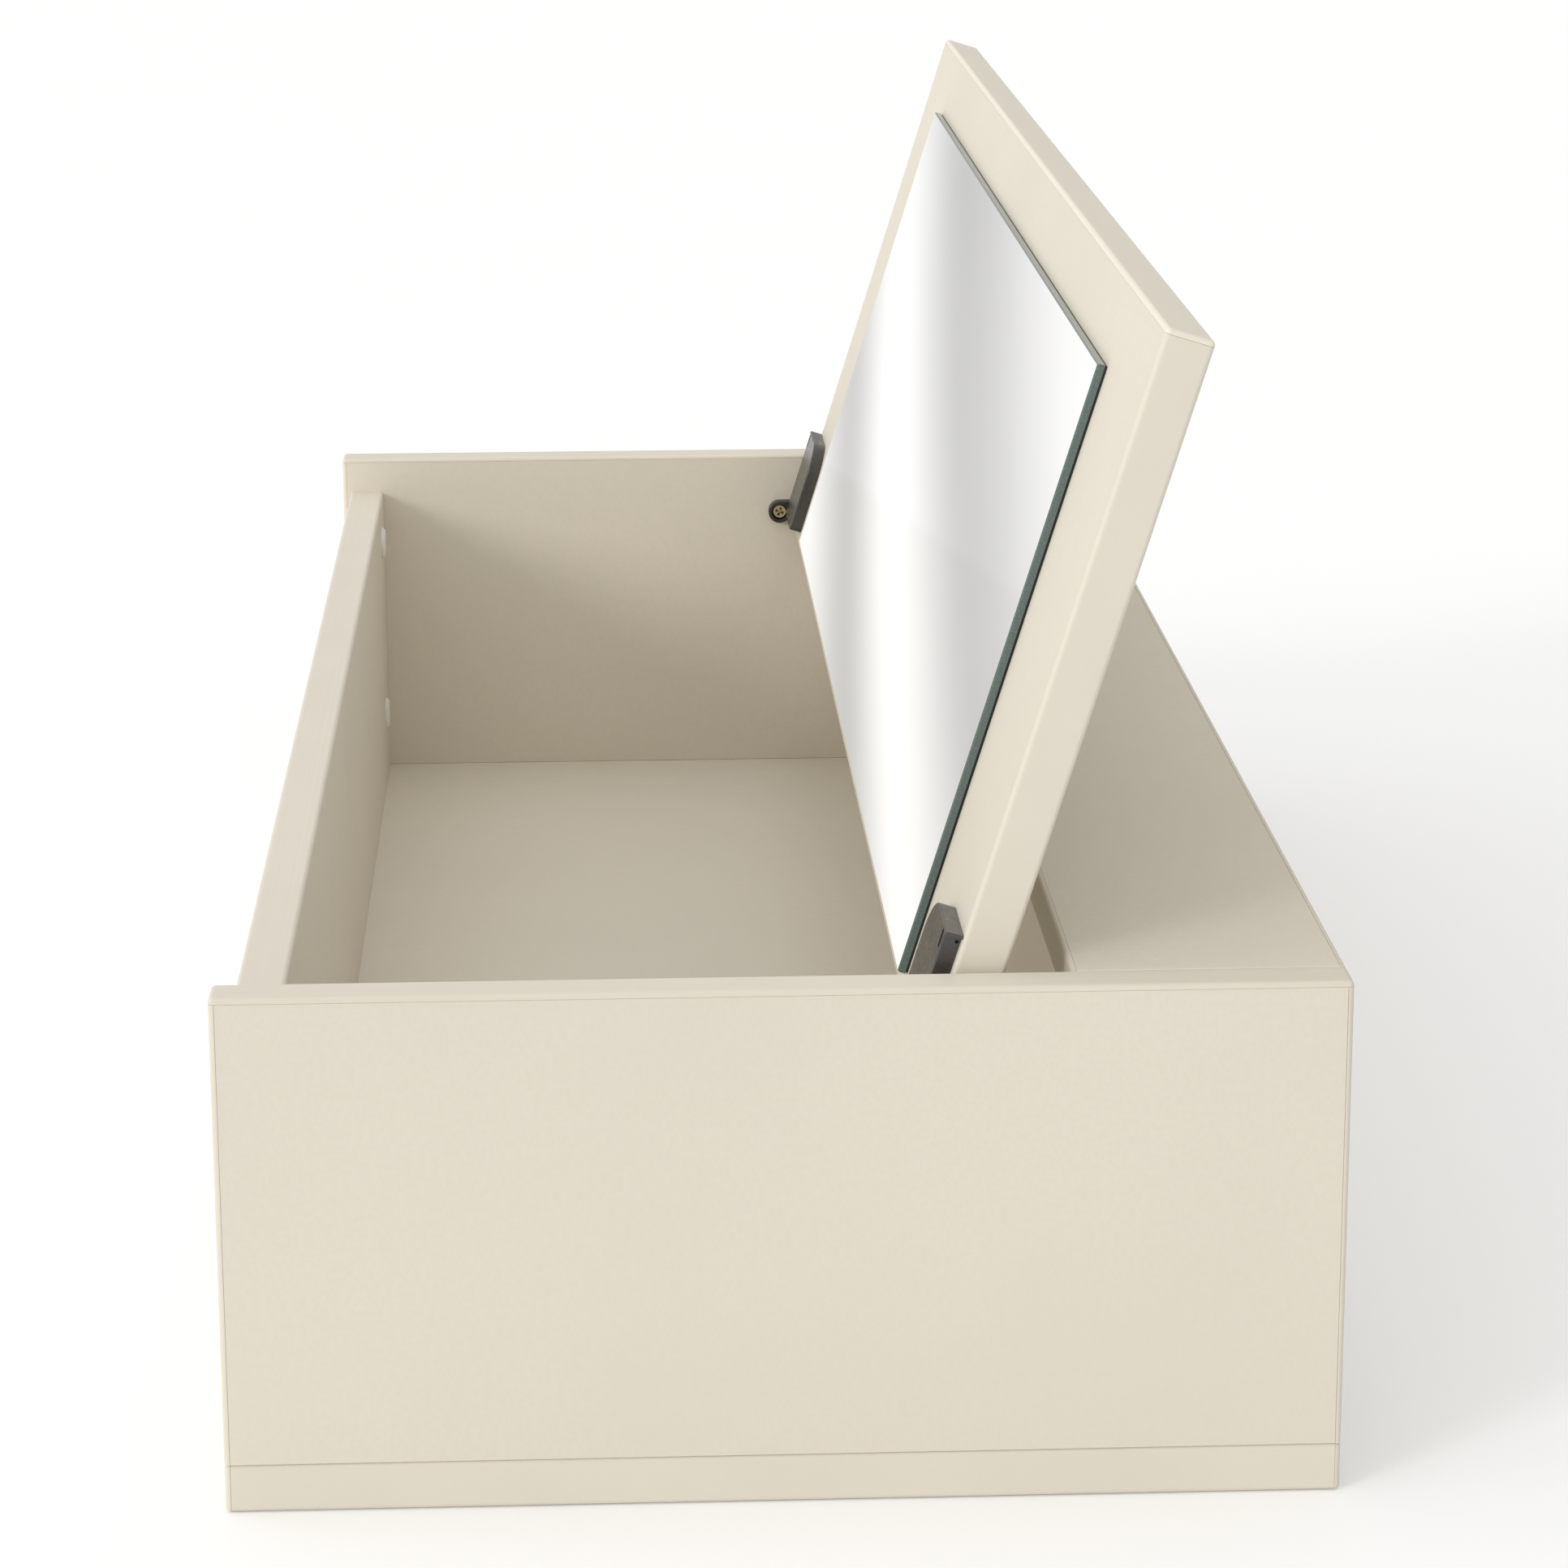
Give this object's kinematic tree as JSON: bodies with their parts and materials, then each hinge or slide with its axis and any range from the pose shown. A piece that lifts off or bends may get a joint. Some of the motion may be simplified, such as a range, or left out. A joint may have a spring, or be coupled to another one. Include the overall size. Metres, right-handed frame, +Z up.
{
  "type": "wall-hung vanity table",
  "caption": "Shallow wall-hung vanity box in cream laminate with a flip-up lid that leans back and carries a mirror on its underside.",
  "frame": {"origin": "middle of the underside, halfway along the width and depth", "axes": "+X along the width, +Y towards the wall, +Z up"},
  "size_m": [1, 0.4, 0.4196],
  "materials": {
    "laminate": "matte cream laminate on board",
    "edge_strip": "matte cream edge strip",
    "mirror": "silvered glass",
    "adhesive": "black foam adhesive",
    "black_plastic": "black moulded plastic",
    "black_metal": "black coated die-cast",
    "yellow_zinc": "yellow zinc plate",
    "steel": "bright zinc plate",
    "nylon": "white nylon",
    "die_cast_zinc": "die-cast zinc",
    "white_plastic": "white plastic",
    "beech": "beech"
  },
  "bodies": {
    "cabinet": {"back_panel": "laminate", "bottom_panel": "laminate", "front_panel": "laminate", "rear_top_panel": "laminate", "side_panel_left": "laminate", "side_panel_right": "laminate", "bottom_edging": "edge_strip", "front_edging": "edge_strip", "rear_top_edging": "edge_strip", "side_edging_left": "edge_strip", "side_edging_right": "edge_strip", "assembly_screws": "steel", "bracket_screws": "yellow_zinc", "cam_bolts": "steel", "cam_caps": "white_plastic", "cam_locks": "die_cast_zinc", "hinge_bracket_left": "black_metal", "hinge_bracket_right": "black_metal", "pivot_pin_left": "steel", "pivot_pin_right": "steel", "wooden_dowels": "beech"},
    "lid": {"lid_panel": "laminate", "lid_edging": "edge_strip", "mirror_glass": "mirror", "mirror_tape": "adhesive", "hinge_body_left": "black_plastic", "hinge_body_right": "black_plastic", "hinge_cover_left": "black_plastic", "hinge_cover_right": "black_plastic", "hinge_screws": "yellow_zinc", "pivot_bush_left": "nylon", "pivot_bush_right": "nylon"}
  },
  "joints": [
    {"name": "lid_hinge", "type": "hinge", "parent": "cabinet", "child": "lid", "pos_m": [0, 0.066, 0.182], "axis": [1, 0, 0], "range_deg": [0, 107.4]}
  ]
}
